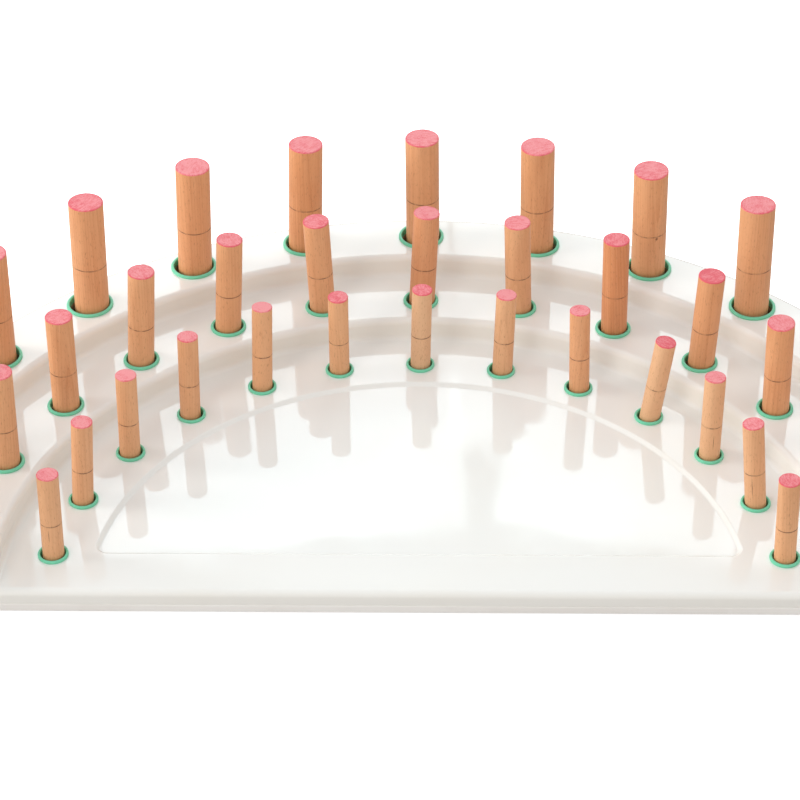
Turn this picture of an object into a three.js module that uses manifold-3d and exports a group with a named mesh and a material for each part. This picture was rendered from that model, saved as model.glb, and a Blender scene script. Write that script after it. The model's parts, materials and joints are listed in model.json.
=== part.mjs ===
// Semicircular tiered peg board: a glossy moulded tray in three arc-shaped steps over a wooden core,
// with thirteen loose pegs of one diameter in each step. Units are millimetres, +Z is up.
// The sizes below are laid out about the centre of the arcs. The finished group is shifted so that
// its origin is on the table, under the middle of the board. +X is to the right, +Y to the rounded back.

import * as THREE from "three";
import { mergeVertices } from "three/addons/utils/BufferGeometryUtils.js";
import Module from "manifold-3d";

// ---- driving dimensions ------------------------------------------------------------------------

const GAP = 0.3; // between pieces that touch

// Board
const RIM_RADIUS = 446; // rounded back edge of the base board
const FRONT_SETBACK = 10; // the straight front edge runs this far in front of the arcs' centre
const LIP = 1.2; // how far the base board stands out past the tray wall
const FOOT_HEIGHT = 1.5;
const BASE_THICKNESS = 7.5;
const BASE_EDGE_ROUND = 1.6;
const SKIRT_HEIGHT = 11.7; // tray wall of the lowest tier
const TIER_STEP = 19;
const OUTER_TIER_WIDTH = 62; // from the rim inwards
const MIDDLE_TIER_WIDTH = 67;
const LOWER_TIER_WIDTH = 59; // from the middle tier's wall to the recess
const TRAY_WALL = 2.5;
const EDGE_CHAMFER = 3;
const WEB_THICKNESS = 1.2; // strip under the tray that joins one row's grommets

// Shallow half-moon recess in the middle
const RECESS_DEPTH = 2.5;
const RECESS_FRONT = 36; // straight front edge of the recess, from the arcs' centre
const RECESS_CORNER = 8;
const RECESS_BACK = 6; // its arc's centre, behind the centre of the others
const RECESS_SHRINK = 10.5; // its arc's radius, less than the lowest step's inner edge

// Fasteners and feet
const SCREW = {
  head: 3.6, headRim: 0.4, headHeight: 2.4, shank: 1.6, cover: 1.1, count: 6, fromRim: 84, play: 0.3,
};
const FOOT = { radius: 9, chamfer: 0.5, arcCount: 4, fromRim: 22, firstAngle: 20, frontX: 150, frontY: 12 };

// Facets
const ARC_STEPS = 32;
const STRIP_STEPS = 24;
const CORNER_STEPS = 3;
const PEG_SIDES = 12;
const RING_SIDES = 12;

// Rows of pegs. inward is how far the row stands from the middle of its tier, towards the recess. lean
// is how a loose peg stands in its socket, by its place in the row counted from the left: how far it
// tips to the right and to the back, in degrees, and how far it stands right of the socket's middle.
const PEGS_PER_ROW = 13;
const END_ANGLE = THREE.MathUtils.degToRad(6.66); // from the line through the centre to a row's end peg
const PEG_CHAMFER = 0.8;
const GROMMET_HEIGHT = 2.1; // above the tray
const NECK_WALL = 1.1; // grommet inside the tray's hole
const WEB_MARGIN = 4; // web outside the neck

const ROWS = [
  {
    name: "small", tier: 0, inward: 8.5, pegRadius: 8.3, pegLength: 88.5, play: 1.3, lipWidth: 2.1,
    lean: { 1: [1, 1, 0.2], 2: [3.5, 0, -0.7], 3: [1, 0.5, -0.5], 4: [1, 1.5, -0.9], 5: [1.5, 3.5, 0],
      6: [0, -3, 0], 7: [1, -1, 0], 8: [1.5, 0, 0.9], 9: [-1.5, 1.5, 0.9], 10: [6.5, -2, 0.1],
      11: [0, 1, 0.2], 12: [-5.5, 1, 0.5], 13: [-2, -1, 0] },
  },
  {
    name: "medium", tier: 1, inward: 5.5, pegRadius: 10.8, pegLength: 102.5, play: 1.4, lipWidth: 2.6,
    socketDepth: 15,
    lean: { 2: [1, 0, 0.3], 3: [0.5, 0, 0.3], 4: [3.5, 0, -0.7], 5: [3, 0, -0.5], 6: [-2.5, -1, 0.2],
      7: [2.5, 1, 0.7], 8: [-2, -1.5, 0.1], 9: [-1, 1.5, 0.9], 10: [2, -1.5, 0.9], 11: [-2, -3, 0.8],
      12: [-1, 1, 0] },
  },
  {
    name: "large", tier: 2, inward: 0, pegRadius: 14.3, pegLength: 117, play: 2.5, lipWidth: 2.6,
    socketDepth: 17,
    lean: { 2: [1, -1, 0.5], 3: [0.5, 1, 0], 4: [1, 1, 1.5], 5: [1.5, 0, 0.9], 6: [1.5, 0, -0.4],
      7: [-0.5, -0.5, 1.5], 8: [-1, -1, 0], 9: [-1.5, -2, -0.3], 10: [-1, 1, -0.6], 12: [0, -1, -0.5] },
  },
];

// ---- levels and radii that follow ----------------------------------------------------------------

const FRONT_Y = -FRONT_SETBACK;
const TRAY_RADIUS = RIM_RADIUS - LIP;
const BASE_BOTTOM = FOOT_HEIGHT + GAP;
const BASE_TOP = BASE_BOTTOM + BASE_THICKNESS;
const TRAY_BOTTOM = BASE_TOP + GAP;
const tierTop = (tier) => TRAY_BOTTOM + SKIRT_HEIGHT + tier * TIER_STEP;
const webTop = (tier) => tierTop(tier) - TRAY_WALL - GAP;
const coreTop = (tier) => webTop(tier) - WEB_THICKNESS - GAP;
const OUTER_TIER_RADIUS = RIM_RADIUS - OUTER_TIER_WIDTH; // inner edges of the tiers
const MIDDLE_TIER_RADIUS = OUTER_TIER_RADIUS - MIDDLE_TIER_WIDTH;
const RECESS_RADIUS = MIDDLE_TIER_RADIUS - LOWER_TIER_WIDTH;
const TIER_INNER = [0, MIDDLE_TIER_RADIUS, OUTER_TIER_RADIUS];
const TIER_EDGES = [RECESS_RADIUS, MIDDLE_TIER_RADIUS, OUTER_TIER_RADIUS, RIM_RADIUS];
const PEG_SPREAD = (Math.PI - 2 * END_ANGLE) / (PEGS_PER_ROW - 1); // angle from one peg to the next
const SCREW_FACE = BASE_BOTTOM + GAP; // the heads lie this high, just inside the base board
const SCREW_LENGTH = coreTop(0) - SCREW.cover - SCREW_FACE; // ends in the lower core
const CORE_INSET = TRAY_WALL + GAP;
const CHORD_DIP = 1 / Math.cos(Math.PI / (2 * ARC_STEPS)); // keeps a faceted arc outside a true one
const CORE_OPENING = (RECESS_RADIUS + CORE_INSET) * CHORD_DIP; // clear of the recess's wall

for (const row of ROWS) {
  row.pitchRadius = (TIER_EDGES[row.tier] + TIER_EDGES[row.tier + 1]) / 2 - row.inward;
  row.holeRadius = row.pegRadius + row.play;
  row.ringRadius = row.holeRadius + row.lipWidth;
  row.neckRadius = row.holeRadius + NECK_WALL;
  row.trayHole = row.neckRadius + GAP;
  row.bed = row.socketDepth ? tierTop(row.tier) - row.socketDepth : BASE_TOP + GAP;
}

// ---- small helpers ---------------------------------------------------------------------------------

const wasm = await Module();
wasm.setup();

/** Turns a closed geometry into a manifold-3d solid. */
function solid(geometry) {
  const bare = geometry.clone();
  bare.deleteAttribute("normal");
  bare.deleteAttribute("uv");
  const merged = mergeVertices(bare, 1e-4);
  return new wasm.Manifold(new wasm.Mesh({
    numProp: 3,
    vertProperties: new Float32Array(merged.attributes.position.array),
    triVerts: new Uint32Array(merged.index.array),
  }));
}

/** Turns a manifold-3d solid back into a geometry. */
function geometryOf(manifold) {
  const mesh = manifold.getMesh();
  const geometry = new THREE.BufferGeometry();
  geometry.setAttribute("position", new THREE.BufferAttribute(new Float32Array(mesh.vertProperties), 3));
  geometry.setIndex(new THREE.BufferAttribute(new Uint32Array(mesh.triVerts), 1));
  geometry.computeVertexNormals();
  return geometry;
}

/** Points along an arc, both ends included. */
function arc(x, y, radius, from, to, steps) {
  return Array.from({ length: steps + 1 }, (_, i) => {
    const angle = from + ((to - from) * i) / steps;
    return new THREE.Vector2(x + radius * Math.cos(angle), y + radius * Math.sin(angle));
  });
}

/** A flat outline raised from bottom to top, with an optional chamfer round its top edge. */
function raise(points, bottom, top, chamfer = 0) {
  const shape = new THREE.Shape(points);
  const options = { depth: top - bottom, bevelEnabled: false, curveSegments: 1 };
  if (chamfer > 0) {
    Object.assign(options, { bevelEnabled: true, bevelThickness: chamfer, bevelSize: chamfer,
      bevelOffset: -chamfer, bevelSegments: 1, depth: top - bottom - chamfer });
  }
  return new THREE.ExtrudeGeometry(shape, options).translate(0, 0, bottom);
}

/** A body turned about Z from a list of [radius, height] pairs. */
function turn(profile, sides) {
  const lathe = new THREE.LatheGeometry(profile.map(([r, z]) => new THREE.Vector2(r, z)), sides);
  return lathe.rotateX(Math.PI / 2);
}

/** A plain round cutter or plug. */
function cylinder(radius, bottom, top, x, y, sides) {
  return turn([[0, bottom], [radius, bottom], [radius, top], [0, top]], sides).translate(x, y, 0);
}

/** The D-shaped plan of the board, or its outer ring from innerRadius outwards, pulled in by inset. */
function plan(radius, innerRadius, inset) {
  const corner = FRONT_SETBACK - inset;
  const shoulder = radius - FRONT_SETBACK;
  const outline = [
    ...arc(0, 0, radius - inset, 0, Math.PI, ARC_STEPS),
    ...arc(-shoulder, 0, corner, Math.PI, 1.5 * Math.PI, CORNER_STEPS).slice(1),
  ];
  if (innerRadius > 0) {
    const inner = innerRadius + inset;
    const dip = Math.asin((FRONT_Y + inset) / inner);
    outline.push(...arc(0, 0, inner, Math.PI - dip, dip, ARC_STEPS));
  }
  outline.push(...arc(shoulder, 0, corner, -0.5 * Math.PI, 0, CORNER_STEPS).slice(0, -1));
  return outline;
}

/** The half-moon plan of the recess, grown outwards by margin. */
function recessPlan(margin) {
  const radius = RECESS_RADIUS - RECESS_SHRINK + margin;
  const front = RECESS_FRONT - margin;
  const corner = RECESS_CORNER + margin;
  const y = front + corner;
  const x = Math.sqrt((radius - corner) ** 2 - (y - RECESS_BACK) ** 2);
  const tangent = Math.atan2(y - RECESS_BACK, x);
  return [
    ...arc(0, RECESS_BACK, radius, tangent, Math.PI - tangent, ARC_STEPS),
    ...arc(-x, y, corner, Math.PI - tangent, 1.5 * Math.PI, CORNER_STEPS).slice(1),
    ...arc(x, y, corner, -0.5 * Math.PI, tangent, CORNER_STEPS).slice(0, -1),
  ];
}

/** Where each peg of a row stands, from left to right. */
function places(row) {
  return Array.from({ length: PEGS_PER_ROW }, (_, i) => {
    const angle = Math.PI / 2 - (i - (PEGS_PER_ROW - 1) / 2) * PEG_SPREAD;
    return { number: i + 1, x: row.pitchRadius * Math.cos(angle), y: row.pitchRadius * Math.sin(angle) };
  });
}

/** Cuts one round hole at each peg of a row. */
function drill(body, row, radius, bottom, top) {
  return places(row).reduce(
    (left, { x, y }) => left.subtract(solid(cylinder(radius, bottom, top, x, y, RING_SIDES))), body);
}

const plastic = (color, roughness) => new THREE.MeshStandardMaterial({ color, roughness, metalness: 0 });
const materials = {
  tray: plastic(0xf3f1ec, 0.16),
  base: plastic(0xe9e3da, 0.45),
  core: plastic(0xc9a878, 0.85),
  grommet: plastic(0x6fd2a6, 0.55),
  peg: plastic(0xd3a273, 0.7),
  foot: plastic(0x2f2f31, 0.9),
  screw: new THREE.MeshStandardMaterial({ color: 0xb9bbbd, roughness: 0.35, metalness: 1 }),
};

const board = new THREE.Group();

/** Adds one named piece to the board. */
function add(name, geometry, material) {
  const mesh = new THREE.Mesh(geometry, material);
  mesh.name = name;
  board.add(mesh);
  return mesh;
}

// ---- fasteners and feet ----------------------------------------------------------------------------

/** Where the screws stand: evenly round an arc between the rows. */
const screwPlaces = Array.from({ length: SCREW.count }, (_, i) => {
  const angle = ((i + 0.5) / SCREW.count) * Math.PI;
  const radius = RIM_RADIUS - SCREW.fromRim;
  return { x: radius * Math.cos(angle), y: radius * Math.sin(angle) };
});

/** Profile of a countersunk screw standing head down, grown by play. */
function screwProfile(play) {
  const head = SCREW.head + play;
  const shank = SCREW.shank + play;
  const floor = SCREW_FACE - 3 * play;
  const rim = SCREW_FACE + SCREW.headRim;
  const neck = SCREW_FACE + SCREW.headHeight + play;
  const tip = SCREW_FACE + SCREW_LENGTH + play;
  return [[0, floor], [head, floor], [head, rim], [shank, neck], [shank, tip - shank], [0, tip]];
}

function addScrews() {
  screwPlaces.forEach(({ x, y }, i) => {
    add(`base_screw_${i + 1}`, turn(screwProfile(0), 8), materials.screw).position.set(x, y, 0);
  });
}

function addFeet() {
  const { radius, chamfer, arcCount, fromRim, firstAngle, frontX, frontY } = FOOT;
  const ringRadius = RIM_RADIUS - fromRim;
  const spots = [[-frontX, frontY], [frontX, frontY]];
  for (let i = 0; i < arcCount; i += 1) {
    const angle = THREE.MathUtils.degToRad(firstAngle + (i * (180 - 2 * firstAngle)) / (arcCount - 1));
    spots.push([ringRadius * Math.cos(angle), ringRadius * Math.sin(angle)]);
  }
  const profile = [[0, 0], [radius - chamfer, 0], [radius, chamfer], [radius, FOOT_HEIGHT], [0, FOOT_HEIGHT]];
  spots.forEach(([x, y], i) => add(`foot_${i + 1}`, turn(profile, 12), materials.foot).position.set(x, y, 0));
}

/** Cuts the screws' clearance out of a piece. */
function screwHoles(body) {
  const cutter = solid(turn(screwProfile(SCREW.play), 8));
  return screwPlaces.reduce((left, { x, y }) => left.subtract(cutter.translate([x, y, 0])), body);
}

// ---- base board and core -----------------------------------------------------------------------------

function addBase() {
  const outline = plan(RIM_RADIUS, 0, 0);
  const body = solid(raise(outline, BASE_BOTTOM, BASE_TOP, BASE_EDGE_ROUND));
  const under = solid(raise(outline, BASE_BOTTOM - 2 * BASE_EDGE_ROUND, BASE_BOTTOM));
  add("base_board", geometryOf(screwHoles(body.subtract(under))), materials.base);
}

/** Arc-shaped slabs under the three tiers, each drilled for its own row of pegs. */
function addCores() {
  const lowest = solid(raise(plan(TRAY_RADIUS, CORE_OPENING - CORE_INSET, CORE_INSET), BASE_TOP + GAP, coreTop(0)));
  const [small, medium, large] = ROWS;
  const over = coreTop(2) + 1;
  const lower = drill(lowest, small, small.holeRadius, 0, over);
  add("lower_core", geometryOf(screwHoles(lower)), materials.core);

  const middle = solid(raise(plan(TRAY_RADIUS, MIDDLE_TIER_RADIUS, CORE_INSET), coreTop(0) + GAP, coreTop(1)));
  add("middle_core", geometryOf(drill(middle, medium, medium.holeRadius, medium.bed - GAP, over)), materials.core);

  const outer = solid(raise(plan(TRAY_RADIUS, OUTER_TIER_RADIUS, CORE_INSET), coreTop(1) + GAP, coreTop(2)));
  add("outer_core", geometryOf(drill(outer, large, large.holeRadius, large.bed - GAP, over)), materials.core);
}

/** Straight batten behind the front wall, between the ends of the lower core. */
function addFrontRail() {
  const front = FRONT_Y + CORE_INSET;
  const back = RECESS_FRONT - CORE_INSET;
  const bottom = BASE_TOP + GAP;
  const top = webTop(0);
  const half = Math.sqrt((CORE_OPENING / CHORD_DIP) ** 2 - back ** 2) - 2 * GAP;
  const box = new THREE.BoxGeometry(2 * half, back - front, top - bottom);
  add("front_rail", box, materials.core).position.set(0, (front + back) / 2, (bottom + top) / 2);
}

// ---- tray --------------------------------------------------------------------------------------------

/** One-piece tray: three steps with a thin wall, open underneath, with the recess and the peg holes. */
function addTray() {
  const foot = TRAY_BOTTOM - 2 * EDGE_CHAMFER;
  let outside = solid(raise(plan(TRAY_RADIUS, 0, 0), foot, tierTop(0), EDGE_CHAMFER));
  let inside = solid(raise(plan(TRAY_RADIUS, 0, TRAY_WALL), foot - 2, tierTop(0) - TRAY_WALL));
  for (const tier of [1, 2]) {
    outside = outside.add(solid(raise(plan(TRAY_RADIUS, TIER_INNER[tier], 0), foot, tierTop(tier), EDGE_CHAMFER)));
    inside = inside.add(
      solid(raise(plan(TRAY_RADIUS, TIER_INNER[tier], TRAY_WALL), foot - 2, tierTop(tier) - TRAY_WALL)));
  }
  const floor = tierTop(0) - RECESS_DEPTH;
  const pan = solid(raise(recessPlan(TRAY_WALL), floor - TRAY_WALL, tierTop(0) - TRAY_WALL / 2));
  const hollow = solid(raise(recessPlan(0), floor, tierTop(0) + 1));
  const below = solid(raise(plan(TRAY_RADIUS + 5, 0, -5), foot - 10, TRAY_BOTTOM));
  let tray = outside.subtract(inside).add(pan).subtract(hollow).subtract(below);
  for (const row of ROWS) {
    tray = drill(tray, row, row.trayHole, tierTop(row.tier) - 2 * TRAY_WALL, tierTop(row.tier) + 1);
  }
  add("tray_shell", geometryOf(tray), materials.tray);
}

// ---- grommets ------------------------------------------------------------------------------------------

/** One row's soft grommets: a ring round each hole, joined by a thin web hidden under the tray. */
function addGrommets(row) {
  const top = tierTop(row.tier);
  const webBottom = webTop(row.tier) - WEB_THICKNESS;
  const half = row.neckRadius + WEB_MARGIN;
  const reach = ((PEGS_PER_ROW - 1) / 2) * PEG_SPREAD + half / row.pitchRadius;
  const from = Math.PI / 2 - reach;
  const to = Math.PI / 2 + reach;
  const strip = [
    ...arc(0, 0, row.pitchRadius + half, from, to, STRIP_STEPS),
    ...arc(0, 0, row.pitchRadius - half, to, from, STRIP_STEPS),
  ];
  const crown = top + GROMMET_HEIGHT;
  const ring = [
    [row.holeRadius, webBottom], [row.neckRadius, webBottom], [row.neckRadius, top + GAP],
    [row.ringRadius, top + GAP], [row.ringRadius - 0.25 * row.lipWidth, crown], [row.holeRadius, crown],
    [row.holeRadius, webBottom],
  ];
  let body = solid(raise(strip, webBottom, webTop(row.tier)));
  body = drill(body, row, row.holeRadius + 0.5 * NECK_WALL, webBottom - 1, top);
  const collar = solid(turn(ring, RING_SIDES));
  for (const { x, y } of places(row)) {
    body = body.add(collar.translate([x, y, 0]));
  }
  add(`${row.name}_grommets`, geometryOf(body), materials.grommet);
}

// ---- pegs ----------------------------------------------------------------------------------------------

/** One peg, loose in its socket, tipped about the socket's middle and resting on its floor. */
function addPeg(row, { number, x, y }) {
  const { pegRadius: r, pegLength: length } = row;
  const c = PEG_CHAMFER;
  const profile = [[0, 0], [r - c, 0], [r, c], [r, length - c], [r - c, length], [0, length]];
  const [rightDegrees, backDegrees, off] = row.lean[number] ?? [0, 0, 0];
  const [right, back] = [rightDegrees, backDegrees].map(THREE.MathUtils.degToRad);
  const axis = new THREE.Vector3(Math.tan(right), Math.tan(back), 1).normalize();
  const tip = axis.angleTo(new THREE.Vector3(0, 0, 1));
  const halfDepth = (tierTop(row.tier) - row.bed) / 2;
  const peg = add(`${row.name}_peg_${String(number).padStart(2, "0")}`, turn(profile, PEG_SIDES), materials.peg);
  peg.quaternion.setFromUnitVectors(new THREE.Vector3(0, 0, 1), axis);
  peg.position.set(x + off, y, 0).addScaledVector(axis, -halfDepth);
  peg.position.z = row.bed + r * Math.sin(tip);
}

// ---- assembly ------------------------------------------------------------------------------------------

addTray();
addBase();
addCores();
addFrontRail();
ROWS.forEach(addGrommets);
for (const row of ROWS) {
  places(row).forEach((place) => addPeg(row, place));
}
addFeet();
addScrews();

board.position.y = -(RIM_RADIUS - FRONT_SETBACK) / 2;

export default board;
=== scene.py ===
"""Dresses the stepped semicircular peg board: tray, base, grommets, pegs, feet, screws and the studio."""

import json
import logging
import math
import random
from dataclasses import dataclass, field
from enum import Enum
from typing import Any, Iterable, Mapping, Sequence

import bpy
import numpy as np
from mathutils import Matrix, Vector


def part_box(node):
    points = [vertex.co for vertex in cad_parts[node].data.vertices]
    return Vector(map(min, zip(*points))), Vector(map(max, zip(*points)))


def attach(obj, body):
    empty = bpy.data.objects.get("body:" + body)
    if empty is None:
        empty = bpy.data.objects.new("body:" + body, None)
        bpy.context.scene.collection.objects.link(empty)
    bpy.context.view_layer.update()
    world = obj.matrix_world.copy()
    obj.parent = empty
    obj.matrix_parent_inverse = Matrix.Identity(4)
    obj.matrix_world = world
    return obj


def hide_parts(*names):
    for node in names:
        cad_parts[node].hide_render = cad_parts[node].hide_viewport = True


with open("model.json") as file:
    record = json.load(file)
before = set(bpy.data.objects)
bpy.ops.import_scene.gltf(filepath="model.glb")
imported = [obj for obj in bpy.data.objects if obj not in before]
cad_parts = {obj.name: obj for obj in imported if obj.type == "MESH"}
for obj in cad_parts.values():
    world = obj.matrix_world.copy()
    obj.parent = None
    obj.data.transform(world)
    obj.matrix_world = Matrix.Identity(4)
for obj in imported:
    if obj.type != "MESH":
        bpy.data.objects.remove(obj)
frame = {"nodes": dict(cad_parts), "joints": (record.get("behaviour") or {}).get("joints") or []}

LOG = logging.getLogger("peg_board")
MM = 0.001
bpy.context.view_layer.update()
Colour = tuple[float, float, float]


# ---- mesh tools ------------------------------------------------------------------------------------


def arc(centre: Sequence[float], radius: float, start: float, end: float, steps: int) -> np.ndarray:
    """Lays points along a flat arc.

    Args:
        centre: X and Y of the arc's centre.
        radius: Radius of the arc.
        start: Angle of the first point, in radians.
        end: Angle of the last point, in radians.
        steps: Number of steps between the two.

    Returns:
        The points, one row of X and Y each, both ends included.
    """
    angles = np.linspace(start, end, steps + 1)
    return np.stack([centre[0] + radius * np.cos(angles), centre[1] + radius * np.sin(angles)], axis=1)


def loft(name: str, loops: np.ndarray, ring: bool = False) -> bpy.types.Object:
    """Skins a stack of closed loops into one closed mesh.

    Args:
        name: Name of the new object.
        loops: Levels by points by X, Y and Z, each loop anticlockwise from above and the stack upwards.
        ring: True joins the last loop to the first, False closes both ends with a face.

    Returns:
        The new object, smooth shaded, linked to the scene.
    """
    levels, points = loops.shape[:2]
    index = np.arange(levels * points).reshape(levels, points)
    low = index if ring else index[:-1]
    high = np.roll(index, -1, axis=0) if ring else index[1:]
    quads = np.stack([low, np.roll(low, -1, axis=1), np.roll(high, -1, axis=1), high], axis=-1)
    faces: list[list[int]] = quads.reshape(-1, 4).tolist()
    if not ring:
        faces.append(index[0][::-1].tolist())
        faces.append(index[-1].tolist())
    mesh = bpy.data.meshes.new(name)
    mesh.from_pydata(loops.reshape(-1, 3).tolist(), [], faces)
    mesh.validate()
    mesh.shade_smooth()
    piece = bpy.data.objects.new(name, mesh)
    bpy.context.scene.collection.objects.link(piece)
    return piece


def turned(
    name: str, profile: Sequence[tuple[float, float]], sides: int, at: Vector = Vector(), ring: bool = False
) -> bpy.types.Object:
    """Turns a profile about a vertical axis.

    Args:
        name: Name of the new object.
        profile: Radius and height of each level, upwards on the outside.
        sides: Number of points round the turn.
        at: Foot of the axis.
        ring: True for a profile that closes on itself.

    Returns:
        The new object.
    """
    outline = np.array(profile)
    angles = np.linspace(0.0, 2.0 * math.pi, sides, endpoint=False)
    round_about = np.stack([np.cos(angles), np.sin(angles)], axis=1)
    loops = np.empty((len(outline), sides, 3))
    loops[:, :, :2] = outline[:, None, :1] * round_about[None] + np.array(at[:2])
    loops[:, :, 2] = outline[:, None, 1] + at.z
    return loft(name, loops, ring)


def joined(name: str, parts: Sequence[bpy.types.Object]) -> bpy.types.Object:
    """Joins several loose bodies into one object of that name."""
    keeper = parts[0]
    with bpy.context.temp_override(active_object=keeper, selected_editable_objects=list(parts)):
        bpy.ops.object.join()
    keeper.name = name
    keeper.data.name = name
    return keeper


def carve(body: bpy.types.Object, tool: bpy.types.Object, operation: str) -> None:
    """Joins, cuts or crosses a body with a tool, and removes the tool.

    Args:
        body: The closed mesh that is changed.
        tool: The closed mesh that works on it.
        operation: UNION, DIFFERENCE or INTERSECT.
    """
    modifier = body.modifiers.new("carve", "BOOLEAN")
    modifier.object = tool
    modifier.operation = operation
    modifier.solver = "MANIFOLD"
    graph = bpy.context.evaluated_depsgraph_get()
    result = bpy.data.meshes.new_from_object(body.evaluated_get(graph))
    body.modifiers.clear()
    body.data = result
    bpy.data.objects.remove(tool)


def polish(piece: bpy.types.Object, crease: float = math.radians(35.0)) -> None:
    """Shades a piece smooth between its creases, with flat faces kept flat."""
    piece.data.shade_smooth()
    piece.data.set_sharp_from_angle(angle=crease)
    weighted = piece.modifiers.new("even_shading", "WEIGHTED_NORMAL")
    weighted.keep_sharp = True
    weighted.weight = 80


def dress(piece: bpy.types.Object, material: bpy.types.Material) -> None:
    """Gives a piece one material, in place of any it has."""
    piece.data.materials.clear()
    piece.data.materials.append(material)


def place_on(
    piece: bpy.types.Object, material: bpy.types.Material, node: str, body: str = "board"
) -> None:
    """Dresses a piece and puts it on the model.

    Args:
        piece: The finished mesh, where it stands at rest.
        material: Its finish.
        node: The CAD node that it stands for.
        body: The body that it rides on.
    """
    dress(piece, material)
    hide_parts(node)
    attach(piece, body)


def vector_attribute(piece: bpy.types.Object, name: str, values: np.ndarray) -> None:
    """Stores one vector at each point of a piece."""
    attribute = piece.data.attributes.new(name, "FLOAT_VECTOR", "POINT")
    attribute.data.foreach_set("vector", values.astype(np.float32).ravel())


# ---- shader tools ----------------------------------------------------------------------------------


class Graph:
    """Places and links the nodes of one node tree."""

    def __init__(self, tree: bpy.types.NodeTree) -> None:
        """Takes the tree to work in."""
        self.tree = tree

    def add(self, kind: str, inputs: Mapping[Any, Any] | None = None, **settings: Any) -> bpy.types.Node:
        """Adds a node.

        Args:
            kind: Blender's type name without the ShaderNode in front of it.
            inputs: Socket name or number to a value, or to an output socket that feeds it.
            **settings: Properties of the node itself.

        Returns:
            The new node.
        """
        node = self.tree.nodes.new(kind if kind.startswith("NodeGroup") else "ShaderNode" + kind)
        for key, value in settings.items():
            setattr(node, key, value)
        for key, value in (inputs or {}).items():
            if isinstance(value, bpy.types.NodeSocket):
                self.tree.links.new(value, node.inputs[key])
            else:
                node.inputs[key].default_value = value
        return node

    def math(self, operation: str, *values: Any, clamp: bool = False) -> bpy.types.NodeSocket:
        """Returns the result of one maths node."""
        return self.add("Math", dict(enumerate(values)), operation=operation, use_clamp=clamp).outputs[0]

    def noise(
        self, vector: Any, scale: float, detail: float = 2.0, rough: float = 0.5
    ) -> bpy.types.NodeSocket:
        """Returns a soft noise value between 0 and 1."""
        inputs = {"Vector": vector, "Scale": scale, "Detail": detail, "Roughness": rough}
        return self.add("TexNoise", inputs).outputs["Fac"]

    def stretch(self, vector: Any, scale: Sequence[float]) -> bpy.types.NodeSocket:
        """Returns a vector multiplied along each axis."""
        return self.add("VectorMath", {0: vector, 1: tuple(scale)}, operation="MULTIPLY").outputs[0]

    def span(
        self, value: Any, low: float, high: float, to_low: float = 0.0, to_high: float = 1.0
    ) -> bpy.types.NodeSocket:
        """Returns a value eased from one range into another."""
        inputs = {"Value": value, "From Min": low, "From Max": high, "To Min": to_low, "To Max": to_high}
        return self.add("MapRange", inputs, interpolation_type="SMOOTHSTEP").outputs["Result"]

    def mix(self, factor: Any, first: Any, second: Any, blend: str = "MIX") -> bpy.types.NodeSocket:
        """Returns two colours mixed by a factor."""
        node = self.add("Mix", {0: factor}, data_type="RGBA", blend_type=blend)
        for slot, colour in ((6, first), (7, second)):
            if isinstance(colour, bpy.types.NodeSocket):
                self.tree.links.new(colour, node.inputs[slot])
            else:
                node.inputs[slot].default_value = (*colour, 1.0)
        return node.outputs[2]

    def finish(
        self, shader: bpy.types.Node, colour: Any, rough: Any, height: Any, strength: float, distance: float
    ) -> None:
        """Feeds a Principled shader its colour, roughness and bump.

        Args:
            shader: The Principled shader.
            colour: Socket of the base colour.
            rough: Socket of the roughness.
            height: Socket of the bump's height.
            strength: Strength of the bump.
            distance: Depth of the bump, in metres.
        """
        bump = self.add("Bump", {"Height": height, "Strength": strength, "Distance": distance})
        for label, socket in (("Base Color", colour), ("Roughness", rough), ("Normal", bump.outputs[0])):
            self.tree.links.new(socket, shader.inputs[label])


class Effect:
    """A shader node group that several finishes use, built once."""

    _built: dict[str, bpy.types.NodeTree] = {}

    def __init__(self, name: str, inputs: Mapping[str, float | None], output: str) -> None:
        """Makes the group's outside.

        Args:
            name: The group's name.
            inputs: Socket name to its usual value, or to None for a vector.
            output: Name of the one number that the group puts out.
        """
        tree = bpy.data.node_groups.new(name, "ShaderNodeTree")
        for label, value in inputs.items():
            kind = "NodeSocketVector" if value is None else "NodeSocketFloat"
            socket = tree.interface.new_socket(name=label, in_out="INPUT", socket_type=kind)
            if value is not None:
                socket.default_value = value
        tree.interface.new_socket(name=output, in_out="OUTPUT", socket_type="NodeSocketFloat")
        self.graph = Graph(tree)
        self.source = tree.nodes.new("NodeGroupInput").outputs
        self.sink = tree.nodes.new("NodeGroupOutput")
        Effect._built[name] = tree

    def give(self, socket: bpy.types.NodeSocket) -> None:
        """Sends a socket out of the group."""
        self.graph.tree.links.new(socket, self.sink.inputs[0])

    @classmethod
    def place(cls, graph: Graph, name: str, inputs: Mapping[str, Any]) -> bpy.types.NodeSocket:
        """Places a built group in a material's graph with its own values, and returns what it puts out."""
        return graph.add("Group", inputs, node_tree=cls._built[name]).outputs[0]


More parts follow.
